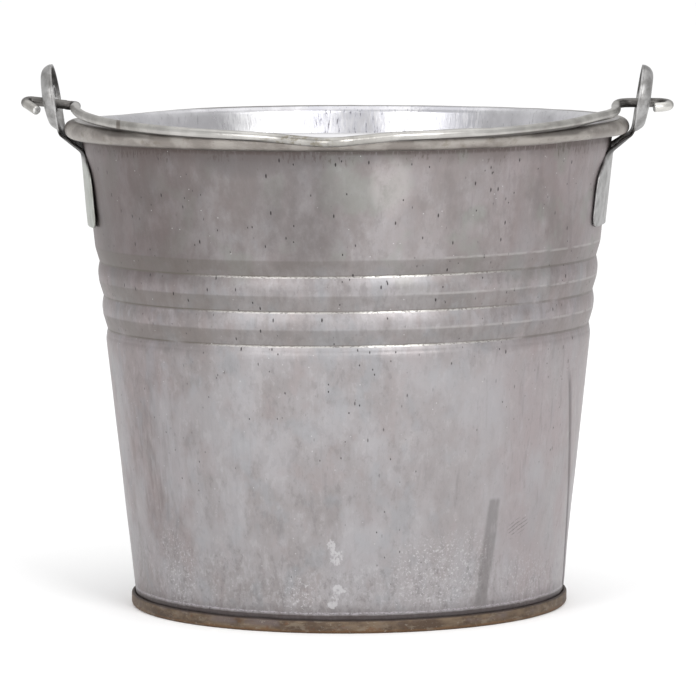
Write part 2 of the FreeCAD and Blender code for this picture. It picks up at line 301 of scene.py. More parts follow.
def lap_strip(first):
    """The raised lap of the side seam: a thin strip that follows the wall."""
    rows = np.linspace(LAP_LOW, LAP_HIGH, 60)
    across, proud = LAP_ACROSS, LAP_PROUD
    edge = LAP_EDGE[0] + (LAP_EDGE[1] - LAP_EDGE[0]) * (rows - LAP_LOW) / (LAP_HIGH - LAP_LOW)
    fade = 1 - smooth_step(rows, LAP_HIGH - LAP_FADE, LAP_HIGH)
    z = rows[:, None] * np.ones(len(across))
    y = edge[:, None] + across[None, :]
    lift = np.where(proud > 0, (proud + LAP_ROOT) * fade[:, None] - LAP_ROOT, -LAP_ROOT)
    base = wall_radius(z)
    turn = np.arcsin(y / base) % (2 * math.pi)
    r = base + dents(turn, z) + lift
    points = turned(r, turn, z)
    faces = grid_faces(len(rows), len(across), wrap_columns=True, first=first)
    ends = [tuple(first + k for k in range(len(across)))[::-1],
            tuple(first + (len(rows) - 1) * len(across) + k for k in range(len(across)))]
    return points, faces + ends


def core_piece(name, material):
    """The wire inside the rolled rim, which follows the rim's shape."""
    radius = ROLL_R - SHEET - GAP
    around, a = even_angles(20)[:, None], even_angles(TURNS)[None, :]
    z = roll_height(a, ROLL_Z + radius * np.sin(around)) + rim_sag(a)
    points = turned(ROLL_AT + radius * np.cos(around), a, z)
    return mesh_object(name, points, closed_faces(len(around)), [material])


FOOT_HIGH = 4.1
FOLD_END = 1.7                          # where the folded edge of the bottom ends, inside the seam
FLOOR_Z = 5.2
FLOOR_SAG = 0.35
HUB_R = 4.0                             # the floor's innermost ring of mesh points
PAN_BENDS = (1.2, 0.4, 0.8, 0.5, 0.4)
FOOT_WORN, FOOT_KNOCK_IN, FOOT_KNOCK_UP = 0.10, 0.16, 0.22


def pan_piece(materials):
    """Raised floor, chuck wall and the fold that makes the foot ring."""
    step = SHEET + GAP
    wall = FOOT_OUT - SHEET / 2 - 3 * step
    low, high, floor = SHEET / 2, FOOT_HIGH - SHEET / 2, FLOOR_Z
    path = rounded([(HUB_R, floor), (wall - step, floor), (wall - step, low), (wall + 3 * step, low),
                    (wall + 3 * step, high), (wall + step, high), (wall + step, FOLD_END)],
                   PAN_BENDS, step=0.12)
    run = np.stack([np.linspace(HUB_R, wall - 2.5, 40), np.full(40, floor)], 1)
    path = np.concatenate([run, path[1:]])
    loop = sheet_loop(path, SHEET)
    r, z = loop[:, 0][:, None], loop[:, 1][:, None]
    a = even_angles(TURNS)[None, :]
    spread = smooth_step(r, wall + 1.2 * step, wall + 2.6 * step)
    knocks = wobble(70 * np.cos(a), 70 * np.sin(a), z * 0.5, 9, 5.5)
    r = r - spread * (FOOT_WORN + FOOT_KNOCK_IN * np.abs(knocks))
    z = z + spread * smooth_step(z, 2.5, 4.3) * FOOT_KNOCK_UP * knocks
    z = z - FLOOR_SAG * (1 - smooth_step(r, 0, wall - 3)) * smooth_step(z, 4.5, 4.9)
    points, faces = turned(r, a, z), closed_faces(len(loop))
    inside = np.arange(len(loop)) < len(path)
    floor_rows = inside & (loop[:, 0] < wall - 0.2)
    slots = np.repeat(np.where(floor_rows, 1, 0), TURNS)
    hub_z = floor - FLOOR_SAG
    points = np.concatenate([points, [[0, 0, hub_z + SHEET / 2], [0, 0, hub_z - SHEET / 2]]])
    top, under = len(points) - 2, len(points) - 1
    last = (len(loop) - 1) * TURNS
    hub = [(c, (c + 1) % TURNS, top) for c in range(TURNS)]
    hub += [(last + (c + 1) % TURNS, last + c, under) for c in range(TURNS)]
    keep = faces[:last]
    slots = slots[:len(keep)].tolist() + [1] * TURNS + [0] * TURNS
    return mesh_object("bottom_and_foot", points, keep + hub, materials, slots)


# ---------------------------------------------------------------- ears

EAR_SHEET = 0.8
RING_AT = (92.65, 161.0)                # middle of the sheet beside the ring, at the ring's centre
RING_R = 10.9
HOLE_R = 3.8
BEAD_OUT = 10.55
BEAD_HIGH = 3.3
TONGUE_END = 11.6                       # from the ring's centre down to where the neck begins
BASE_HALF = 26.4
BASE_LOW = 121.8
FOOT_POINTS = 49                        # mesh points across the neck, shared by the tongue and the plate
WELD_DEEP, NECK_CURL, NECK_RIB = 0.30, 0.60, 0.30
WELDS = ((-21.5, 124.6), (20.8, 125.2), (-17.5, 138.2), (16.0, 139.0))      # y and z of the dimples
RING_LEAN = math.radians(9.0)
ABOVE_RING, ELBOW_BELOW = 12, 10.5      # from the ring's centre to the sheet's top and to the neck's bend
PLATE_STANDS = 0.1                      # gap between the base plate and the wall
SPREAD_AT = (0, 11.6, 13.2, 15.0, 17.0, 19.0, 21.0, 23.5, 26.5, 29.5)       # below the ring's centre
SPREAD_HALF = (RING_R, RING_R, 11.2, 12.0, 13.6, 16.0, 19.2, 23.0, 25.6, 26.3)


def ear_path(lift, knee_z):
    """Side view of the ear's sheet from above the ring down to the base plate's lower edge."""
    stand = (PLATE_STANDS + EAR_SHEET / 2) * LEAN
    top = (RING_AT[0] + ABOVE_RING * math.sin(RING_LEAN), RING_AT[1] + ABOVE_RING * math.cos(RING_LEAN) + lift)
    elbow = (RING_AT[0] - ELBOW_BELOW * math.tan(RING_LEAN), RING_AT[1] - ELBOW_BELOW)
    knee = (wall_radius(knee_z) + stand, knee_z)
    low = (wall_radius(BASE_LOW) + stand, BASE_LOW)
    return resampled(rounded([top, elbow, knee, low], [4.0, 2.2], step=0.2), 0.2)


def ear_half_width(down, total):
    """Half the ear's width at a distance below the ring's centre, along the sheet."""
    width = np.interp(down, (*SPREAD_AT, total), (*SPREAD_HALF, BASE_HALF))
    corner = 4.0
    left = np.clip((down - (total - corner)) / corner, 0, 1)
    return width - corner * (1 - np.sqrt(1 - np.minimum(left, 0.999) ** 2))


def bead_height(rho, below):
    """Height of the pressed ring; below is +1 under the ring's centre and -1 above it."""
    middle, half = (HOLE_R + BEAD_OUT) / 2, (BEAD_OUT - HOLE_R) / 2
    part = np.clip(np.abs(rho - middle) / half, 0, 1)
    fall = 0.55 + 0.85 * np.clip(below, 0, 1) * (rho > middle)
    return (BEAD_HIGH - 0.25 * np.abs(below) - 0.15 * below) * (1 - part ** 2.3) ** fall


def ear_rings():
    """Flat grid of the tongue and ring: rows run outwards from the hole, as across and down."""
    side = [(RING_R, t) for t in np.linspace(TONGUE_END, 0, 14)][:-1]
    arch = [(RING_R * math.cos(a), -RING_R * math.sin(a)) for a in np.linspace(0, math.pi, 61)]
    other = [(-y, t) for y, t in side[::-1]]
    foot = [(y, TONGUE_END) for y in np.linspace(-RING_R, RING_R, FOOT_POINTS)][1:-1]
    border = np.array(side + arch + other + foot)
    direction = border / np.linalg.norm(border, axis=1)[:, None]
    turn = np.linspace(0, math.pi, 27)
    middle, half = (HOLE_R + BEAD_OUT) / 2, (BEAD_OUT - HOLE_R) / 2
    rows = [direction * (middle - half * math.cos(t)) for t in turn]
    edge = direction * BEAD_OUT
    rows += [edge + (border - edge) * k for k in (0.12, 0.4, 0.7, 1.0)]
    return np.array(rows), len(side), len(arch)


def ear_piece(name, side, material, lift, flare, knee_z):
    """One ear, its ring moved up by lift and its plate's foot bent outwards by flare, in millimetres."""
    path = ear_path(lift, knee_z)
    steps = np.concatenate([[0], np.cumsum(np.linalg.norm(np.diff(path, axis=0), axis=1))])
    zero = np.interp(RING_AT[1] + lift, path[::-1, 1], steps[::-1])
    down = steps - zero
    total = down[-1]
    normal = line_normals(path)
    rings, n_side, n_arch = ear_rings()
    n_rows, n_cols = rings.shape[:2]
    rho = np.linalg.norm(rings, axis=2)
    height = np.where(rho <= BEAD_OUT + 1e-6, bead_height(rho, rings[:, :, 1] / np.maximum(rho, 1e-6)), 0)
    neck_rows = np.concatenate([np.arange(TONGUE_END + 0.6, total - 2.6, 0.75),
                                np.linspace(total - 2.4, total - 0.02, 12)])
    share = np.linspace(1, -1, FOOT_POINTS)
    across = share[None, :] * ear_half_width(neck_rows, total)[:, None]
    below = neck_rows[:, None] + 0 * across
    z_here = np.interp(neck_rows, down, path[:, 1])[:, None]
    dimple = -sum(WELD_DEEP * bump(across, y, 0.9) * bump(z_here, z, 1.3) for y, z in WELDS)
    curled = -NECK_CURL * smooth_step(np.abs(share), 0.76, 1.0)[None, :]
    curled = curled * (1 - smooth_step(neck_rows, 20, 23))[:, None] * smooth_step(neck_rows, 11, 14)[:, None]
    rib = NECK_RIB * bump(share, 0, 0.5)[None, :] * (1 - smooth_step(neck_rows, 14, 20))[:, None]
    lifted = flare * smooth_step(neck_rows, 20, total)[:, None]

    def place(y, t, h):
        """Points from across, down and height above the sheet; the plate hugs the round wall."""
        x = np.interp(t, down, path[:, 0])
        z = np.interp(t, down, path[:, 1])
        nx, nz = [np.interp(t, down, normal[:, k]) for k in (0, 1)]
        sign = 1.0 if normal[0, 0] > 0 else -1.0
        x, z = x + sign * nx * h, z + sign * nz * h
        hug = smooth_step(t, 10, 19)
        angle = y / x
        flat = np.stack([x, y, z], -1)
        wrapped = np.stack([x * np.cos(angle), x * np.sin(angle), z], -1)
        return flat + (wrapped - flat) * hug[..., None]

    ring_points = place(rings[:, :, 0], rings[:, :, 1], height).reshape(-1, 3)
    neck_points = place(across, below, dimple + curled + rib + lifted).reshape(-1, 3)
    faces = [f[::-1] for f in grid_faces(n_rows, n_cols, wrap_columns=True)]
    border = (n_rows - 1) * n_cols
    foot_start = 2 * n_side + n_arch
    foot = [border + k for k in [0] + list(range(n_cols - 1, foot_start - 1, -1)) + [foot_start - 1]]
    first = len(ring_points)
    for k in range(FOOT_POINTS - 1):
        faces.append((foot[k], foot[k + 1], first + k + 1, first + k))
    faces += grid_faces(len(neck_rows), FOOT_POINTS, first=first)
    points = np.concatenate([ring_points, neck_points])
    if side < 0:
        points[:, 0] *= -1
        faces = [f[::-1] for f in faces]
    piece = mesh_object(name, points, faces, [material])
    thicken = piece.modifiers.new("thicken", "SOLIDIFY")
    thicken.thickness = EAR_SHEET * MM
    thicken.offset = 0.0
    thicken.use_even_offset = True
    thicken.edge_crease_rim = 0.55
    smooth = piece.modifiers.new("smooth", "SUBSURF")
    smooth.levels = smooth.render_levels = 1
    return applied(piece)


def applied(piece):
    """Swap the piece's mesh for the result of its modifiers."""
    graph = bpy.context.evaluated_depsgraph_get()
    mesh = bpy.data.meshes.new_from_object(piece.evaluated_get(graph))
    piece.modifiers.clear()
    piece.data = mesh
    mesh.polygons.foreach_set("use_smooth", [True] * len(mesh.polygons))
    return piece


# ---------------------------------------------------------------- bail

BAIL_DROOP = 3.75
BAIL_R = 85.5
BAIL_FORWARD = 6.9
GRIP_REACH = 97.9
GRIP_TIP_R, GRIP_FLANK, GRIP_FOOT_R = 12.0, 26.0, 18.0
EYE_BEND_R = {1: 5.0, -1: 2.4}
LEFT_EYE_OUT = 0.8                      # the left eye's bend stands this much further out
HOOK_OUT = WIRE_OUT - WIRE_R
LEFT_TILT, LEFT_LOW = 0.115, 0.64       # rise of the left hook outwards, and drop of the left eye's bend
RIGHT_LOW, RIGHT_EYE_LOW, RIGHT_SHOULDER_LOW = 0.30, 0.80, 0.42
GRIP_LIFT, GRIP_SAG = 0.10, 1.0
WORN, CUT_SHRINK, BURR = 0.012, 0.90, 0.16        # wear of the wire, and shape of its cut ends
HOOKS = {1: (4.0, 165.0, 2.0, 4.0), -1: (2.2, 125.0, 6.5, 12.0)}     # radius, turn, straight end and twist


def arc_points(centre, radius, start, end, step=1.0):
    """Points on a flat arc between two angles in degrees."""
    count = max(4, int(abs(math.radians(end - start)) * radius / step))
    a = np.radians(np.linspace(start, end, count + 1))
    return np.stack([centre[0] + radius * np.cos(a), centre[1] + radius * np.sin(a)], 1)


def degrees_of(v):
    return math.degrees(math.atan2(v[1], v[0]))


def half_bail(bend):
    """Half of the bail in its own plane, from the eye bend to the middle: across and ahead of the pivot."""
    hub = np.array([0.0, BAIL_FORWARD])
    eye = np.array([math.sqrt((BAIL_R + bend) ** 2 - (bend - BAIL_FORWARD) ** 2), bend])
    flank = math.radians(GRIP_FLANK)
    along, out = np.array([math.cos(flank), -math.sin(flank)]), np.array([math.sin(flank), math.cos(flank)])
    tip = np.array([0.0, GRIP_REACH - GRIP_TIP_R])
    base = tip + (GRIP_TIP_R + GRIP_FOOT_R) * out - hub
    dot = base @ along
    foot = hub + base + along * (-dot - math.sqrt(dot ** 2 - base @ base + (BAIL_R + GRIP_FOOT_R) ** 2))
    return np.concatenate([
        arc_points(eye, bend, -90, degrees_of(hub - eye) - 360, 0.4),
        arc_points(hub, BAIL_R, degrees_of(eye - hub), degrees_of(foot - hub), 2.0)[1:],
        arc_points(foot, GRIP_FOOT_R, degrees_of(hub - foot), degrees_of(-out), 1.0)[1:],
        arc_points(tip, GRIP_TIP_R, degrees_of(out), 90, 1.0),
    ]), eye[0]


def hook(side, inner):
    """Cut end, hook and the run through the ear, as across and ahead; and its twist."""
    radius, turn, end, twist = HOOKS[side]
    start = HOOK_OUT - radius
    bend = arc_points((start, radius), radius, turn - 90, -90, 0.35)
    heading = np.array([math.cos(math.radians(turn)), math.sin(math.radians(turn))])
    tip = bend[0] + heading * end
    straight = resampled(np.array([tip, bend[0]]), 0.5)[:-1]
    run = resampled(np.array([bend[-1], [inner, 0.0]]), 1.0)[1:-1]
    return np.concatenate([straight, bend, run]), twist


def hand_bends(line):
    """Height changes from use: a tilted left end, a low right shoulder and a sagging grip."""
    x, ahead = line[:, 0], -line[:, 1]
    across = np.abs(x)
    left = np.where(across > 87.4, LEFT_TILT * (across - 93), -LEFT_LOW * (1 - smooth_step(ahead, 1.5, 16)))
    low = RIGHT_LOW * (1 - smooth_step(ahead, 16, 50))
    low = low + RIGHT_EYE_LOW * smooth_step(ahead, 0.5, 7) * (1 - smooth_step(ahead, 12, 50)) * (across < 90)
    low = low + RIGHT_SHOULDER_LOW * smooth_step(ahead, 38, 56) * (1 - smooth_step(ahead, 78, 84))
    grip = GRIP_LIFT * smooth_step(ahead, 55, 75) - GRIP_SAG * bump(x, -6, 15) * smooth_step(ahead, 75, 85)
    return np.where(x < 0, left, -low) + grip


def bail_line():
    """The wire's centre line at rest, from the right cut end to the left one."""
    def placed(flat, side, twist=0.0):
        angle = math.radians(BAIL_DROOP + twist)
        x, ahead = side * flat[:, 0], flat[:, 1]
        return np.stack([x, -ahead * math.cos(angle), PIVOT_Z - ahead * math.sin(angle)], 1)

    parts = []
    for side in (1, -1):
        half, inner = half_bail(EYE_BEND_R[side])
        end, twist = hook(side, inner)
        parts.append(np.concatenate([placed(end, side, twist), placed(half, side)]))
    line = np.concatenate([parts[0], parts[1][-2::-1]])
    line[:, 2] += hand_bends(line)
    near_eye = (line[:, 0] < 0) & (line[:, 0] > -89)
    line[:, 0] -= np.where(near_eye, LEFT_EYE_OUT * (1 - smooth_step(-line[:, 1], 3, 24)), 0)
    keep = np.concatenate([[True], np.linalg.norm(np.diff(line, axis=0), axis=1) > 0.05])
    return line[keep]


def bail_piece(materials):
    """The wire as a tube with cut ends."""
    line = bail_line()
    tangent = np.gradient(line, axis=0)
    tangent /= np.linalg.norm(tangent, axis=1)[:, None]
    normal = np.cross(tangent[0], [0, 0.2, 1.0])
    sides = 22
    around = even_angles(sides)
    rows = []
    for k, (p, t) in enumerate(zip(line, tangent)):
        normal = normal - t * (normal @ t)
        normal = normal / np.linalg.norm(normal)
        other = np.cross(t, normal)
        radius = WIRE_R - WORN * (1 + noise.noise(Vector(p / 7)))
        ring = [p + radius * (math.cos(a) * normal + math.sin(a) * other) for a in around]
        if k == 0 or k == len(line) - 1:
            inwards = t if k == 0 else -t
            shrunk = [p + CUT_SHRINK * (q - p) for q in ring]
            burr = [q + inwards * BURR for q in ring]
            rows += [shrunk, burr] if k == 0 else [burr, shrunk]
        else:
            rows.append(ring)
    points = np.array(rows).reshape(-1, 3)
    faces = grid_faces(len(rows), sides, wrap_columns=True)
    slots = [0] * len(faces)
    faces += [tuple(range(sides))[::-1], tuple(range(len(points) - sides, len(points)))]
    slots += [1, 1]
    return mesh_object("bail_wire", points, faces, materials, slots)


# ---------------------------------------------------------------- materials

class Paint:
    """Builds one material's nodes, colour layer over colour layer.

    Distances in its patterns are in millimetres. A mask is 1 where its layer shows and 0 where it doesn't.
    """

    def __init__(self, name, metallic):
        self.material = bpy.data.materials.new(name)
        self.material.use_nodes = True
        self.tree = self.material.node_tree
        self.shader = self.tree.nodes["Principled BSDF"]
        self.shader.inputs["Metallic"].default_value = metallic
        coords = self.tree.nodes.new("ShaderNodeTexCoord").outputs["Object"]
        self.place = self.scaled(1 / MM, 1 / MM, 1 / MM, coords)
        split = self.tree.nodes.new("ShaderNodeSeparateXYZ")
        self.tree.links.new(self.place, split.inputs[0])
        self.x, self.y, self.z = split.outputs
        self.color = None

    def feed(self, socket, value):
        if isinstance(value, bpy.types.NodeSocket):
            self.tree.links.new(value, socket)
        elif isinstance(value, tuple) and len(value) == 3 and socket.type == "RGBA":
            socket.default_value = (*value, 1)
        else:
            socket.default_value = value

    def scaled(self, x, y, z, source=None):
        node = self.tree.nodes.new("ShaderNodeMapping")
        node.inputs["Scale"].default_value = (x, y, z)
        self.tree.links.new(source or self.place, node.inputs["Vector"])
        return node.outputs[0]

    # numbers

    def math(self, kind, a, b=0.0, clamp=False):
        node = self.tree.nodes.new("ShaderNodeMath")
        node.operation = kind
        node.use_clamp = clamp
        self.feed(node.inputs[0], a)
        self.feed(node.inputs[1], b)
        return node.outputs[0]

    def absolute(self, value):
        return self.math("ABSOLUTE", value)

    def square(self, value):
        return self.math("MULTIPLY", value, value)

    def distance(self, a, b):
        return self.math("SQRT", self.math("ADD", self.square(a), self.square(b)))

    def total(self, *terms, offset=0.0):
        """Sum of terms, each a value and its weight."""
        out = offset
        for value, weight in terms:
            out = self.math("ADD", out, self.math("MULTIPLY", value, weight))
        return out

    def both(self, *masks):
        """Where every mask shows; a number among them sets the strength."""
        out = masks[0]
        for mask in masks[1:]:
            out = self.math("MULTIPLY", out, mask)
        return out

    def either(self, *masks):
        """Where any mask shows."""
        out = masks[0]
        for mask in masks[1:]:
            out = self.math("MAXIMUM", out, mask)
        return out

    # masks

    def ramp(self, value, low, high):
        """Smooth step from 0 at low to 1 at high; low may be the larger."""
        node = self.tree.nodes.new("ShaderNodeMapRange")
        node.interpolation_type = "SMOOTHSTEP"
        ends = (low, high, 0.0, 1.0) if low <= high else (high, low, 1.0, 0.0)
        self.feed(node.inputs["Value"], value)
        for name, end in zip(("From Min", "From Max", "To Min", "To Max"), ends):
            node.inputs[name].default_value = end
        return node.outputs[0]

    def window(self, value, start, full, fade, end):
        """1 from full to fade, falling to 0 at start and at end."""
        return self.both(self.ramp(value, start, full), self.ramp(value, end, fade))

    def near(self, value, middle, reach, core):
        """1 within core of the middle, falling to 0 at reach from it."""
        return self.ramp(self.absolute(self.math("SUBTRACT", value, middle)), reach, core)

    def front(self):
        """The front half of the bucket."""
        return self.ramp(self.y, 0, -10)

    def patch(self, x, z, wide, high, front=True):
        """Soft oval on the front of the bucket, 1 at its middle."""
        dx = self.math("DIVIDE", self.math("SUBTRACT", self.x, x), wide)
        dz = self.math("DIVIDE", self.math("SUBTRACT", self.z, z), high)
        inside = self.ramp(self.math("ADD", self.square(dx), self.square(dz)), 1.0, 0.15)
        return self.both(inside, self.front()) if front else inside

    # patterns

    def texture(self, kind, size, stretch, shift, **settings):
        """Texture with features of a size in millimetres; stretch above 1 makes them tall."""
        node = self.tree.nodes.new(kind)
        for name, value in {"Scale": 1.0, **settings}.items():
            node.inputs[name].default_value = value
        mapped = self.scaled(1 / size, 1 / size, 1 / (size * stretch))
        mapped.node.inputs["Location"].default_value = shift
        self.tree.links.new(mapped, node.inputs["Vector"])
        return node

    def noise(self, size, stretch=1.0, detail=4.0, rough=0.55, shift=0.0):
        place = (shift, -shift, shift * 0.7)
        node = self.texture("ShaderNodeTexNoise", size, stretch, place, Detail=detail, Roughness=rough)
        return node.outputs["Fac"]

    def spots(self, spacing, radius, stretch=1.0, share=0.4, shift=0.0):
        """Scattered spots, 1 inside a spot: spacing and radius in millimetres, share of cells that have one."""
        place = (shift, shift * 0.6, -shift)
        node = self.texture("ShaderNodeTexVoronoi", spacing, stretch, place, Randomness=1.0)
        dot = self.ramp(node.outputs["Distance"], radius / spacing, radius / spacing * 0.45)
        pick = self.tree.nodes.new("ShaderNodeSeparateColor")
        self.tree.links.new(node.outputs["Color"], pick.inputs[0])
        return self.both(dot, self.math("LESS_THAN", pick.outputs[0], share))

    # colour

    def mix(self, share, a, b, kind="MIX"):
        node = self.tree.nodes.new("ShaderNodeMix")
        node.data_type = "RGBA"
        node.blend_type = kind
        self.feed(node.inputs["Factor"], share)
        self.feed(node.inputs[6], a)
        self.feed(node.inputs[7], b)
        return node.outputs[2]

    def base(self, mask, off, on):
        """Start the colour: off where the mask is 0 and on where it is 1."""
        self.color = self.mix(mask, off, on)

    def over(self, tone, *masks):
        """Lay a colour over the rest, where every mask shows."""
        self.color = self.mix(self.both(*masks), self.color, tone)

    def times(self, tone, *masks):
        """Multiply the rest by a colour, where every mask shows."""
        self.color = self.mix(self.both(*masks), self.color, tone, "MULTIPLY")

    def finish(self, rough, bump, depth):
        """Wire up colour, roughness and a bump of a depth in millimetres."""
        self.feed(self.shader.inputs["Base Color"], self.color)
        self.feed(self.shader.inputs["Roughness"], rough)
        node = self.tree.nodes.new("ShaderNodeBump")
        node.inputs["Strength"].default_value = 1.0
        node.inputs["Distance"].default_value = depth * MM
        self.feed(node.inputs["Height"], bump)
        self.tree.links.new(node.outputs[0], self.shader.inputs["Normal"])
        return self.material


# Colours, as linear red, green and blue
WALL_DULL, WALL_PALE = (0.232, 0.212, 0.210), (0.318, 0.303, 0.309)
LOWER_GREY = (0.290, 0.275, 0.279)
MOTTLE_DARK, MOTTLE_PALE = (0.180, 0.168, 0.170), (0.400, 0.385, 0.390)
BLUISH, BROWNISH = (0.262, 0.273, 0.288), (0.286, 0.248, 0.246)
UPPER_SHADE = (0.168, 0.150, 0.147)
ROSY, GREENISH = (0.262, 0.232, 0.230), (0.235, 0.250, 0.228)
LEFT_SHADE = (0.122, 0.105, 0.102)
PALE_CLOUD = (0.38, 0.355, 0.35)
MURK = (0.126, 0.114, 0.114)
LEFT_STREAK = (0.160, 0.136, 0.133)
LIT_RIGHT = (0.385, 0.362, 0.368)
STREAK, SPECK = (0.175, 0.160, 0.162), (0.165, 0.155, 0.156)
SIDE_TINT = (1.0, 0.950, 0.952)
HAZE = (0.372, 0.366, 0.380)
GROOVE_DIRT_AND_SHADE, RIM_DIRT_AND_SHADE = (0.118, 0.105, 0.092), (0.070, 0.052, 0.046)
PIT, GRAIN = (0.022, 0.018, 0.019), (0.55, 0.54, 0.54)
CURD_PALE, CURD_DARK = (0.43, 0.42, 0.428), (0.160, 0.150, 0.152)
FOOT_GRIME_AND_SHADOW, FOOT_LINE = (0.042, 0.029, 0.027), (0.42, 0.39, 0.42)
DRIP, SCRATCH, EAR_STAIN = (0.135, 0.126, 0.124), (0.110, 0.100, 0.100), (0.045, 0.035, 0.030)
BLOOM = (0.56, 0.55, 0.56)
LAP_DIRT = (0.062, 0.056, 0.057)
FLANK_HIGHLIGHT, GLINT = (0.40, 0.385, 0.375), (0.80, 0.78, 0.74)


def zinc_outside():
    """Weathered galvanised wall: clouds of grey, streaks, pits, stains and pale bloom."""
    p = Paint("zinc_outside", metallic=0.85)
    broad = p.noise(24, 1.5, 3, 0.6)
    cloud = p.noise(8.5, 1.35, 5, 0.68, 31.0)
    streaks = p.noise(2.4, 9, 3, 0.6, 9.0)
    fine = p.noise(0.9, 1.8, 3, 0.6)
    tint = p.noise(9, 1.5, 3, 0.6, 4.0)
    wall_clouds(p, broad, cloud, streaks, tint)
    upper_wall(p, broad, cloud, tint)
    p.over(LEFT_STREAK, p.patch(-59, 52, 10, 28), p.ramp(streaks, 0.40, 0.60), 0.45)
    p.over(LIT_RIGHT, p.ramp(p.x, 5, 55), p.ramp(p.z, 98, 72), 0.50)
    p.over(STREAK, p.ramp(streaks, 0.56, 0.72), 0.30)
    p.over(SPECK, p.ramp(fine, 0.58, 0.76), 0.28)
    p.times(SIDE_TINT, p.ramp(p.absolute(p.x), 38, 62), p.ramp(p.noise(14, 1.8, 3, 0.6, 71.0), 0.25, 0.60),
            p.ramp(p.y, 10, -20))
    p.over(HAZE, p.ramp(p.noise(19, 1.4, 4, 0.6, 81.0), 0.47, 0.62), p.ramp(p.z, 96, 76), 0.38)
    # painted shade with olive grime on the grooves' down-facing flanks and in their creases
    p.over(GROOVE_DIRT_AND_SHADE, groove_dirt_and_shade(p))
    # dirt streaks, and painted shade right under the rim
    p.over(RIM_DIRT_AND_SHADE, rim_dirt_and_shade(p))
    pits = wall_pits(p, broad)
    p.over(PIT, pits, 0.92)
    p.over(GRAIN, p.spots(3.1, 0.24, 1.0, 0.5, 23.0), 0.6)
    corrosion(p)
    # painted gap shadow above the foot ring, with grime creeping up
    p.over(FOOT_GRIME_AND_SHADOW, foot_grime_and_shadow(p))
    p.over(FOOT_LINE, foot_line(p))
    p.over(DRIP, drip_stain(p))
    p.over(SCRATCH, scratches(p))
    p.over(EAR_STAIN, ear_stain(p))
    p.over(BLOOM, bloom(p))
    p.over(LAP_DIRT, lap_line(p))
    # painted highlight along the top of each groove flank
    p.over(FLANK_HIGHLIGHT, flank_highlight(p))
    # painted highlight on the creases, partly rubbed bright by wear
    glint = crease_glint(p)
    p.over(GLINT, glint)
    rough = p.total((cloud, 0.30), (glint, -0.22), offset=0.33)
    height = p.total((fine, 0.30), (cloud, 0.6), (pits, -1.0), (glint, 0.3))
    return p.finish(rough, height, 0.12)


def wall_clouds(p, broad, cloud, streaks, tint):
    """Clouds of dull and pale grey with a finer mottle, some bluish and some brownish; calmer low down."""
    tone = p.total((broad, 0.42), (cloud, 0.42), (streaks, 0.16))
    p.base(p.ramp(tone, 0.40, 0.60), WALL_DULL, WALL_PALE)
    p.over(LOWER_GREY, p.ramp(p.z, 100, 80), 0.35)
    mottle = p.noise(3.2, 1.7, 6, 0.7, 51.0)
    p.over(MOTTLE_DARK, p.ramp(mottle, 0.52, 0.62), 0.38)
    p.over(MOTTLE_PALE, p.ramp(mottle, 0.46, 0.36), 0.32)
    p.over(BLUISH, p.ramp(tint, 0.52, 0.66), 0.42)
    p.over(BROWNISH, p.ramp(tint, 0.46, 0.34), 0.40)


def upper_wall(p, broad, cloud, tint):
    """Above the grooves: darker, rosy at the right, greenish in places, and darkest at the upper left."""
    upper = p.ramp(p.z, 100, 118)
    deep = p.ramp(p.total((cloud, 0.5), (broad, 0.5)), 0.60, 0.38)
    p.over(UPPER_SHADE, upper, p.total((deep, 0.50), offset=0.14))
    p.over(ROSY, p.ramp(p.x, -5, 25), p.ramp(p.z, 108, 122), p.ramp(tint, 0.35, 0.55), 0.5)
    p.over(GREENISH, p.ramp(p.noise(13, 1.1, 3, 0.5, 13.0), 0.54, 0.66), upper, 0.45)
    p.over(LEFT_SHADE, p.ramp(p.x, 5, -62), p.ramp(p.z, 98, 114), p.total((cloud, -0.6), offset=1.0))
    p.over(PALE_CLOUD, p.patch(16, 139, 8, 11), p.ramp(cloud, 0.3, 0.6), 0.6)
    murk = p.either(p.patch(-12, 130, 19, 22), p.patch(-22, 146, 26, 7))
    under_rim = p.ramp(p.z, 141, 147)
    # murk patches, made deeper right under the rim by painted shade
    p.over(MURK, murk, p.total((cloud, -1.0), (under_rim, 0.30), offset=1.05))


def wall_pits(p, broad):
    """Small dark pits, taller than wide, thickest in the upper half."""
    where = p.total((p.z, 0.008), (broad, 1.6))
    many = p.both(p.spots(2.8, 0.30, 3.0, 0.85), p.ramp(where, 1.15, 1.60))
    small = p.both(p.spots(2.4, 0.22, 2.0, 0.70, 17.0), p.ramp(where, 0.9, 1.4))
    few = p.both(p.spots(4.2, 0.27, 2.2, 0.35, 5.0), 0.8)
    return p.either(many, small, few)


def rim_dirt_and_shade(p):
    """Dirt caught under the rolled rim, running down in short ragged streaks, over a soft painted shade right
    under the rim.
    """
    ragged = p.noise(0.75, 5, 3, 0.65, 2.0)
    patchy = p.noise(16, 0.4, 3, 0.6, 14.0)
    line = p.both(p.ramp(p.z, 147.0, 148.8), p.ramp(ragged, 0.25, 0.5), 0.72)
    run_end = p.total((p.z, 0.12), (ragged, 2.0))
    streak = p.both(p.ramp(run_end, 18.52, 18.92), p.ramp(patchy, 0.42, 0.58), 0.66)
    # soft painted shade right under the rolled rim
    soft = p.both(p.ramp(p.z, 143.5, 149.4), 0.40)
    return p.either(line, streak, soft)


def groove_level(p):
    """Height on the wall with the grooves' tilt taken out."""
    return p.total((p.z, 1.0), (p.x, -GROOVE_TILT / TILT_R))


def flank_highlight(p):
    """Painted highlight along the top of each dark flank, clearest at the right."""
    level = groove_level(p)
    lines = p.either(*[p.near(level, crease + 5.2, 0.55, 0.15) for crease in GROOVES])
    # noise that breaks the painted highlight into pieces
    worn = p.ramp(p.noise(6, 0.5, 3, 0.6, 26.0), 0.35, 0.55)
    return p.both(lines, p.ramp(p.x, 12, 38), worn, 0.42)


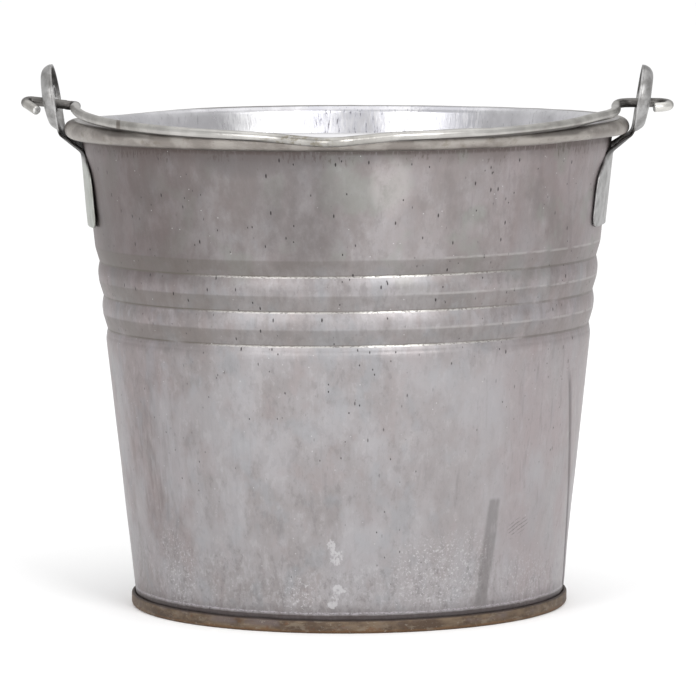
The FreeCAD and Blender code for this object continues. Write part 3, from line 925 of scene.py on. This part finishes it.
def crease_glint(p):
    """Painted highlight on the creases, partly rubbed bright, most of all at the front right."""
    level = groove_level(p)
    lines = p.either(*[p.near(level, crease - 0.1, 0.42, 0.16) for crease in GROOVES])
    strong = p.both(p.window(p.x, 2, 11, 23, 31), p.front())
    weak = p.both(p.window(p.x, -50, -30, 40, 60), p.front(), 0.30)
    worn = p.ramp(p.noise(0.9, 0.5, 3, 0.65, 6.0), 0.36, 0.54)
    return p.both(lines, p.either(strong, weak), worn)


def groove_dirt_and_shade(p):
    """Painted shade with olive grime on the down-facing flank above each crease, strongest at the left, and a
    painted shade line in the crease.
    """
    depth = p.total((p.ramp(p.x, -15, -55), 0.22), offset=0.30)
    level = groove_level(p)
    terms = []
    for crease in GROOVES:
        # painted shade with grime on the flank above the crease, then a painted shade line in the crease
        terms.append((p.window(level, crease - 0.1, crease + 0.2, crease + 4.7, crease + 5.4), depth))
        terms.append((p.window(level, crease - 0.5, crease - 0.1, crease + 0.2, crease + 0.7), 0.45))
    worn = p.ramp(p.noise(15, 0.5, 3, 0.6, 6.0), 0.20, 0.5)
    return p.math("MULTIPLY", p.total(*terms), worn, clamp=True)


def foot_level(p):
    """Height on the wall, made uneven for what creeps up from the foot ring."""
    return p.total((p.z, 1.0), (p.noise(3, 0.6, 3), 0.6), offset=-0.3)


def foot_grime_and_shadow(p):
    """Painted gap shadow as a dark band where the wall runs into the foot ring, and grime creeping up from it.
    """
    level = foot_level(p)
    # the solid dark band is painted gap shadow; the fainter rise above it is grime
    return p.either(p.both(p.ramp(level, 5.8, 5.3), 0.80), p.both(p.ramp(level, 10.0, 5.5), 0.30))


def foot_line(p):
    """Thin pale deposit just above the dark band."""
    broken = p.ramp(p.noise(0.8, 0.5, 3, 0.7, 9.0), 0.42, 0.56)
    return p.both(p.window(foot_level(p), 5.75, 6.0, 6.2, 6.6), broken, 0.75)


def corrosion(p):
    """Fine curdled pattern of white zinc over the lower wall."""
    curd = p.noise(1.7, 1.5, 5, 0.75, 44.0)
    where = p.ramp(p.total((p.z, -1.0), (p.noise(17, 0.8, 3, 0.6, 41.0), 70.0)), 5, 22)
    p.over(CURD_PALE, p.ramp(curd, 0.52, 0.62), where, 0.38)
    p.over(CURD_DARK, p.ramp(curd, 0.46, 0.36), where, 0.42)


def drip_stain(p):
    """Old drip with a blunt top, running down the front right and a little to the left."""
    course = p.absolute(p.total((p.x, 1.0), (p.z, -0.14), offset=-41.6))
    breadth = p.total((p.ramp(p.z, 40, 15), 0.3), (p.noise(6, 1.5, 3, 0.6, 19.0), 1.4), offset=0.40)
    wide = p.ramp(p.math("SUBTRACT", course, breadth), 1.0, -0.1)
    ragged = p.ramp(p.noise(2.2, 5, 3, 0.6, 3.0), 0.20, 0.50)
    return p.both(wide, p.window(p.z, 3, 9, 39.2, 40.6), p.front(), ragged, 0.50)


def scratches(p):
    """A few short slanting scratches side by side, low on the front right."""
    dx, dz = p.total((p.x, 1.0), offset=-54.2), p.total((p.z, 1.0), offset=-30.3)
    across = p.total((dz, 0.84), (dx, -0.54))
    along = p.total((dx, 0.84), (dz, 0.54))
    waves = p.math("SINE", p.total((across, 6.3), (p.noise(5, 1, 2, 0.5, 61.0), 4.0)))
    far = p.total((p.square(across), 0.17), (p.square(along), 0.07))
    broken = p.ramp(p.noise(1.6, 1, 3, 0.6, 2.0), 0.35, 0.5)
    return p.both(p.ramp(waves, 0.45, 0.95), p.ramp(far, 1.0, 0.6), broken, p.front(), 0.55)


def ear_stain(p):
    """Dirty run below the middle of the right ear's plate."""
    wide = p.near(p.total((p.y, 1.0), (p.noise(4, 3, 4, 0.7, 12.0), 9.0)), 3.5, 4.0, 0.5)
    level = p.total((p.z, 1.0), (p.noise(1.6, 4, 3, 0.6, 15.0), 9.0), offset=-4.5)
    return p.both(wide, p.ramp(level, 111, 119), p.ramp(p.z, 122.5, 121.5), p.ramp(p.x, 0, 20), 0.55)


# x, z, half width and half height of ovals on the front; the specks' last number is their strength
FLAKES = ((-2.9, 27.2, 2.0, 3.0), (-1.4, 23.8, 3.2, 3.4), (-0.7, 13.6, 3.3, 2.2), (-1.6, 11.8, 2.2, 2.2),
          (-2.6, 9.0, 2.3, 1.7))
SPECKS = ((29, 18, 17, 14, 0.6), (38, 25, 10, 9, 0.3), (-51, 16, 7, 13, 0.55), (-54, 24, 5, 8, 0.4),
          (-13, 12, 8, 7, 0.5), (56, 13, 10, 10, 0.4))


def bloom(p):
    """White zinc bloom: ragged flakes near the middle, speckle low on the right and left."""
    flakes = p.either(*[p.patch(*oval) for oval in FLAKES])
    ragged = p.total((flakes, 0.42), (p.noise(1.5, 1.4, 5, 0.75, 27.0), 1.6))
    speck = p.ramp(p.noise(0.8, 1.0, 3, 0.7, 30.0), 0.54, 0.66)
    return p.either(p.both(p.ramp(ragged, 1.06, 1.24), p.ramp(flakes, 0.0, 0.3), 0.5),
                    *[p.both(p.patch(*oval), speck, strength) for *oval, strength in SPECKS])


def lap_line(p):
    """Dirt along the edge of the side lap."""
    slope = (LAP_EDGE[1] - LAP_EDGE[0]) / (LAP_HIGH - LAP_LOW)
    edge = p.math("ADD", LAP_EDGE[0] - slope * LAP_LOW, p.math("MULTIPLY", p.z, slope))
    span = p.both(p.window(p.z, 3, 8, LAP_HIGH - 12, LAP_HIGH - 2), p.ramp(p.x, 0, 20))
    return p.both(p.near(p.y, edge, 1.5, 0.2), span, 0.42)


RIM_DULL, RIM_PALE = (0.222, 0.200, 0.184), (0.335, 0.312, 0.288)
RIM_STAIN, RIM_SPECK = (0.180, 0.155, 0.118), (0.130, 0.120, 0.108)
RIM_UNDER, BAIL_SHADOW_LINE, CROWN_HIGHLIGHT = (0.060, 0.050, 0.040), (0.050, 0.042, 0.038), (0.66, 0.66, 0.68)


def zinc_rim():
    """Rolled rim: warmer and lighter than the wall, with a painted highlight along its top at the front, darker
    underneath, and a painted shadow line under the bail.
    """
    p = Paint("zinc_rim", metallic=0.85)
    clouds = p.noise(10, 0.6, 4, 0.6, 2.0)
    fine = p.noise(1.2, 0.7, 3, 0.6)
    p.base(p.ramp(clouds, 0.38, 0.62), RIM_DULL, RIM_PALE)
    p.over(RIM_STAIN, p.ramp(p.noise(5, 0.8, 4, 0.65, 8.0), 0.56, 0.68), 0.45)
    p.over(RIM_SPECK, p.ramp(fine, 0.58, 0.75), 0.35)
    p.over(RIM_UNDER, p.ramp(p.z, 150.2, 149.2), 0.80)
    reach = p.distance(p.x, p.total((p.y, 1.0), offset=BAIL_FORWARD))
    bail_shadow = p.window(reach, 84.5, 84.9, 85.8, 86.2)
    # painted shadow line where the bail wire lies over the rim
    p.over(BAIL_SHADOW_LINE, bail_shadow, p.ramp(p.y, -38, -55), p.ramp(p.z, 152, 153), 0.6)
    # painted highlight along the top of the roll at the front
    p.over(CROWN_HIGHLIGHT, p.ramp(p.z, RIM_TOP - 2.0, RIM_TOP - 0.9), p.ramp(p.absolute(p.x), 42, 16),
           p.ramp(p.y, -60, -72), 0.8)
    return p.finish(p.total((clouds, 0.30), offset=0.32), fine, 0.06)


INSIDE_DULL, INSIDE_PALE = (0.485, 0.480, 0.498), (0.630, 0.625, 0.645)
WORN_WHITE_AND_REFLECTION, ZONE_EDGE_SHADE, MIDDLE_GREY = (0.84, 0.84, 0.85), (0.40, 0.40, 0.43), (0.50, 0.50, 0.54)
BLOTCH, SCORE, CHIP = (0.47, 0.47, 0.51), (0.11, 0.105, 0.12), (0.24, 0.24, 0.25)
LIP_DARK, LIP_WORN = (0.16, 0.15, 0.145), (0.215, 0.200, 0.185)


def zinc_inside():
    """Inside of the wall: cleaner and glossier, with upright scratches and near-white zones that are partly
    worn zinc and partly painted reflection.
    """
    p = Paint("zinc_inside", metallic=0.9)
    clouds = p.noise(14, 1.4, 4, 0.6, 11.0)
    scratch = p.noise(0.8, 7, 3, 0.65, 5.0)
    p.base(p.ramp(clouds, 0.38, 0.62), INSIDE_DULL, INSIDE_PALE)
    ragged = p.total((p.x, 1.0), (scratch, 34.0), (clouds, 9.0), offset=-21.5)
    back = p.ramp(p.y, 0, 20)
    zones = p.either(p.window(ragged, -48, -35, -30, -24), p.window(ragged, 9, 16, 16, 23))
    # near-white zones: worn zinc and painted reflection of the lights
    p.over(WORN_WHITE_AND_REFLECTION, zones, back, p.ramp(p.z, 154.6, 151.5), p.ramp(p.z, 95, 140), 0.75)
    # painted shade beside the right bright zone
    p.over(ZONE_EDGE_SHADE, p.window(ragged, 18, 24, 34, 44), back, 0.8)
    middle = p.both(p.window(p.x, -20, -14, 9, 16), back)
    p.over(MIDDLE_GREY, middle, p.ramp(scratch, 0.40, 0.60), 0.8)
    p.over(BLOTCH, p.patch(-13.6, 151, 4.4, 5.0, front=False), 0.8)
    p.over(SCORE, p.ramp(scratch, 0.58, 0.68), p.total((middle, 0.55), offset=0.28))
    p.over(CHIP, p.spots(9, 1.3, 1.6, 0.3, 2.0), 0.35)
    p.over(LIP_DARK, p.ramp(p.z, 154.6, 155.0))
    p.over(LIP_WORN, p.ramp(p.z, 151.0, 152.5), p.ramp(p.y, 34, 10), 0.9)
    return p.finish(p.total((clouds, 0.25), offset=0.20), scratch, 0.05)


FOOT_DARK, FOOT_BROWN = (0.064, 0.040, 0.025), (0.145, 0.104, 0.068)
RUST, LOW_RUST, MAUVE = (0.110, 0.045, 0.018), (0.128, 0.066, 0.027), (0.125, 0.100, 0.098)
BARE_METAL, WORN_BROWN = (0.27, 0.245, 0.21), (0.200, 0.165, 0.125)
FLAKE_OCHRE, FOOT_SHADE = (0.55, 0.42, 0.22), (0.032, 0.022, 0.020)


def rusty_foot():
    """Foot ring: brown, with rust spots and worn metal showing through."""
    p = Paint("rusty_foot", metallic=0.4)
    clouds = p.noise(9, 0.5, 5, 0.65)
    fine = p.noise(1.4, 0.7, 4, 0.65, 3.0)
    p.base(p.ramp(clouds, 0.36, 0.64), FOOT_DARK, FOOT_BROWN)
    p.over(RUST, p.ramp(p.noise(4, 0.7, 4, 0.7, 12.0), 0.56, 0.66), 0.55)
    p.over(LOW_RUST, p.ramp(p.total((p.z, 1.0), (clouds, -1.6)), 0.6, -0.1), 0.7)
    p.over(MAUVE, p.ramp(p.z, 1.2, 2.6), p.ramp(p.noise(14, 0.5, 3, 0.6, 33.0), 0.46, 0.60), 0.6)
    p.over(BARE_METAL, p.ramp(fine, 0.60, 0.70), 0.5)
    p.over(WORN_BROWN, p.ramp(p.noise(5, 0.4, 4, 0.7, 27.0), 0.54, 0.64), 0.45)
    p.over(FLAKE_OCHRE, p.spots(5, 0.5, 0.7, 0.3, 6.0), p.ramp(p.z, 1.4, 0.6), 0.6)
    p.over(FOOT_SHADE, p.window(p.z, 3.55, 3.95, 4.6, 6.0), 0.78)
    return p.finish(p.total((clouds, 0.25), offset=0.5), fine, 0.12)


FLOOR_DULL, FLOOR_PALE = (0.46, 0.455, 0.46), (0.62, 0.61, 0.61)
WATER_STAIN, CORNER_DARK = (0.30, 0.27, 0.235), (0.20, 0.175, 0.15)


def zinc_floor():
    """Inside floor: bright zinc with water stains, darker towards the corner with the wall."""
    p = Paint("zinc_floor", metallic=0.9)
    clouds = p.noise(16, 1, 5, 0.62, 3.0)
    stains = p.noise(6, 1, 4, 0.7, 16.0)
    p.base(p.ramp(clouds, 0.35, 0.65), FLOOR_DULL, FLOOR_PALE)
    p.over(WATER_STAIN, p.ramp(stains, 0.54, 0.66), 0.4)
    p.over(CORNER_DARK, p.ramp(p.distance(p.x, p.y), 60, 67), 0.6)
    return p.finish(p.total((clouds, 0.2), offset=0.32), stains, 0.05)


def zinc_part(name, light, dark, size, shift, base_rough=0.34):
    """Galvanised small part, such as an ear or the wire: its paint, clouds, fine grain and roughness."""
    p = Paint(name, metallic=0.9)
    clouds = p.noise(size, 1.0, 4, 0.6, shift)
    fine = p.noise(size * 0.12, 1.5, 3, 0.6, shift)
    p.base(p.ramp(clouds, 0.36, 0.64), dark, light)
    p.over(tuple(0.3 * c for c in dark), p.spots(size * 0.45, size * 0.05, 1.4, 0.35, shift), 0.7)
    p.over(tuple(0.55 * c for c in dark), p.ramp(fine, 0.58, 0.72), 0.3)
    return p, clouds, fine, p.total((clouds, 0.18), offset=base_rough)


NECK_DIRT_AND_SHADOW, LEFT_PLATE = (0.012, 0.010, 0.009), (0.400, 0.425, 0.375)


def zinc_ear():
    """Ears: black at the sides of the neck, painted shadow under the rim with some grime, and a greenish plate
    at the left.
    """
    p, clouds, fine, rough = zinc_part("zinc_ear", (0.375, 0.372, 0.370), (0.215, 0.210, 0.205), 5.0, 7.0)
    neck = p.window(p.z, 143.0, 144.8, 150.9, 152.6)
    edges = p.total((p.ramp(p.absolute(p.y), 7.5, 11.0), 0.70), (clouds, 0.5))
    # painted shadow with grime on the sides of the neck
    p.over(NECK_DIRT_AND_SHADOW, p.math("MULTIPLY", neck, edges, clamp=True))
    p.over(LEFT_PLATE, p.ramp(p.z, 143.5, 141.0), p.ramp(p.x, 0, -10), 0.5)
    return p.finish(rough, fine, 0.05)


WIRE_RUBBED, WIRE_UNDER_SHADE, WIRE_RING = (0.62, 0.612, 0.595), (0.040, 0.034, 0.030), (0.085, 0.065, 0.05)
WIRE_SHADED, WIRE_TIP, GRIP_GRIME = (0.085, 0.080, 0.077), (0.66, 0.65, 0.62), (0.155, 0.128, 0.075)


def zinc_wire():
    """Bail wire: rubbed bright at the front, black underneath as painted shade, grimy where it is held."""
    p, _, fine, rough = zinc_part("zinc_wire", (0.400, 0.388, 0.366), (0.265, 0.254, 0.238), 8, 3.0, 0.26)
    across = p.absolute(p.x)
    p.over(WIRE_RUBBED, p.window(across, 10, 24, 50, 64), p.ramp(p.y, -55, -65), 0.32)
    above_plane = p.total((p.z, 1.0), (p.y, -math.tan(math.radians(BAIL_DROOP))), offset=-PIVOT_Z)
    # painted shade on the wire's underside at the front
    p.over(WIRE_UNDER_SHADE, p.ramp(above_plane, -0.7, -1.1), p.ramp(p.y, -25, -40), p.ramp(across, 14, 26), 0.85)
    p.over(WIRE_RING, p.near(p.x, -68.1, 0.9, 0.4), p.ramp(p.y, -20, -30), 0.7)
    p.over(WIRE_SHADED, p.ramp(across, 83.6, 85.0), p.ramp(p.y, -5.2, -3.2), 0.8)
    p.over(WIRE_TIP, p.ramp(p.x, 93.5, 95.0), p.ramp(p.y, -5.5, -7.0), 0.7)
    p.over(GRIP_GRIME, p.near(p.x, -12, 16, 4), p.ramp(p.y, -60, -80),
           p.ramp(p.noise(2.2, 0.6, 3, 0.6, 3.0), 0.48, 0.62), 0.55)
    return p.finish(rough, fine, 0.04)


def cut_steel():
    """Bright steel of the wire's cut ends."""
    p, _, fine, rough = zinc_part("cut_steel", (0.83, 0.83, 0.82), (0.66, 0.655, 0.65), 1.2, 1.0, 0.2)
    return p.finish(rough, fine, 0.03)


def plain_wire():
    """Wire inside the rolled rim."""
    p, _, fine, rough = zinc_part("plain_wire", (0.42, 0.41, 0.40), (0.27, 0.26, 0.25), 8, 4.0)
    return p.finish(rough, fine, 0.04)


def plain_paint(name, dark, light, grain_size, detail, rough, depth):
    """Matt material that isn't metal."""
    p = Paint(name, metallic=0.0)
    grain = p.noise(grain_size, 1, detail, 0.6)
    p.base(grain, dark, light)
    return p.finish(rough, grain, depth)


def sealing_compound():
    return plain_paint("sealing_compound", (0.13, 0.12, 0.10), (0.22, 0.20, 0.17), 0.7, 3, 0.7, 0.05)


def studio_paper():
    return plain_paint("studio_paper", (0.93, 0.93, 0.93), (0.95, 0.95, 0.95), 3, 3, 0.9, 0.01)


# ---------------------------------------------------------------- stage, light and camera

VIEW_AZIMUTH = 2.0                      # degrees; the camera stands a little to the right of the front
VIEW_ELEVATION = 5.80
VIEW_ROLL = -0.275
VIEW_DISTANCE = 1.577
VIEW_LENS = 254.9
SENSOR = 36.0
AIM = Vector((0.0, 0.0, 0.07584))       # the distance and elevation are from this point
AIM_RISE = 0.00563                      # the picture's middle is this far above it

LIGHT_AIM = 0.09                        # height that the softboxes point at
SOFTBOX = (0.5, 0.6)
WORLD_STRENGTH = 0.80
CEILING_POWER, CEILING_SPREAD = 0.95, 70
FLOOR_HALF = 14.0


def camera_axes():
    azimuth, elevation = math.radians(VIEW_AZIMUTH), math.radians(VIEW_ELEVATION)
    ahead = Vector((-math.sin(azimuth) * math.cos(elevation), math.cos(azimuth) * math.cos(elevation),
                    -math.sin(elevation)))
    right = Vector((math.cos(azimuth), math.sin(azimuth), 0))
    return ahead, right.cross(ahead)


def add_camera():
    ahead, up = camera_axes()
    place = AIM - ahead * VIEW_DISTANCE
    data = bpy.data.cameras.new("camera")
    data.lens = VIEW_LENS
    data.sensor_width = SENSOR
    data.clip_start = 0.05
    camera = linked("camera", data)
    camera.location = place
    look = (AIM + up * AIM_RISE - place).normalized()
    turn = look.to_track_quat("-Z", "Y")
    camera.rotation_euler = turn.to_euler()
    camera.rotation_euler.rotate_axis("Z", math.radians(VIEW_ROLL))
    bpy.context.scene.camera = camera


def softbox(name, azimuth, elevation, distance, size, power):
    """Rectangular light aimed at the bucket's middle; azimuth 0 is the front, positive to the right."""
    a, e = math.radians(azimuth), math.radians(elevation)
    aim = Vector((0, 0, LIGHT_AIM))
    place = aim + distance * Vector((math.sin(a) * math.cos(e), -math.cos(a) * math.cos(e), math.sin(e)))
    data = bpy.data.lights.new(name, "AREA")
    data.shape = "RECTANGLE"
    data.size, data.size_y = size
    data.energy = power
    light = linked(name, data)
    light.location = place
    light.rotation_euler = (aim - place).to_track_quat("-Z", "Y").to_euler()


def add_stage():
    corners = np.array([[-1, -1, 0], [1, -1, 0], [1, 1, 0], [-1, 1, 0]]) * FLOOR_HALF / MM
    floor = mesh_object("floor", corners, [(0, 1, 2, 3)], [studio_paper()], smooth=False)
    world = bpy.data.worlds.new("studio")
    world.use_nodes = True
    sky = world.node_tree.nodes["Background"]
    sky.inputs["Color"].default_value = (1, 1, 1, 1)
    sky.inputs["Strength"].default_value = WORLD_STRENGTH
    bpy.context.scene.world = world
    bpy.context.scene.view_settings.view_transform = "Standard"
    softbox("left_softbox", -32, 16, 1.6, SOFTBOX, 7)
    softbox("right_softbox", 27, 27, 1.6, SOFTBOX, 12)
    data = bpy.data.lights.new("ceiling", "SUN")
    data.angle = math.radians(CEILING_SPREAD)
    data.energy = CEILING_POWER
    linked("ceiling", data).location = (0, 0, 2)


# ---------------------------------------------------------------- the bucket

def add_piece(piece, body, slot, *nodes):
    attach(piece, body)
    if nodes:
        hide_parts(*nodes)


def build():
    outside, rim, inside = zinc_outside(), zinc_rim(), zinc_inside()
    ears, foot = zinc_ear(), rusty_foot()
    add_piece(wall_piece([outside, rim, inside]), "bucket", "wall_zinc", "side_wall")
    add_piece(core_piece("rim_core", plain_wire()), "bucket", "wire_steel", "rim_wire")
    add_piece(pan_piece([foot, zinc_floor()]), "bucket", "rusty_foot", "bottom_pan")
    right_ear = ear_piece("right_ear", 1, ears, lift=0.0, flare=0.0, knee_z=144.6)
    add_piece(right_ear, "bucket", "ear_zinc", "ear_right")
    left_ear = ear_piece("left_ear", -1, ears, lift=0.75, flare=0.5, knee_z=145.0)
    add_piece(left_ear, "bucket", "ear_zinc", "ear_left")
    add_piece(bail_piece([zinc_wire(), cut_steel()]), "bail", "bail_zinc", "bail")
    compound = sealing_compound()
    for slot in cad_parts["seam_compound"].material_slots:
        slot.material = compound


add_camera()
add_stage()
build()
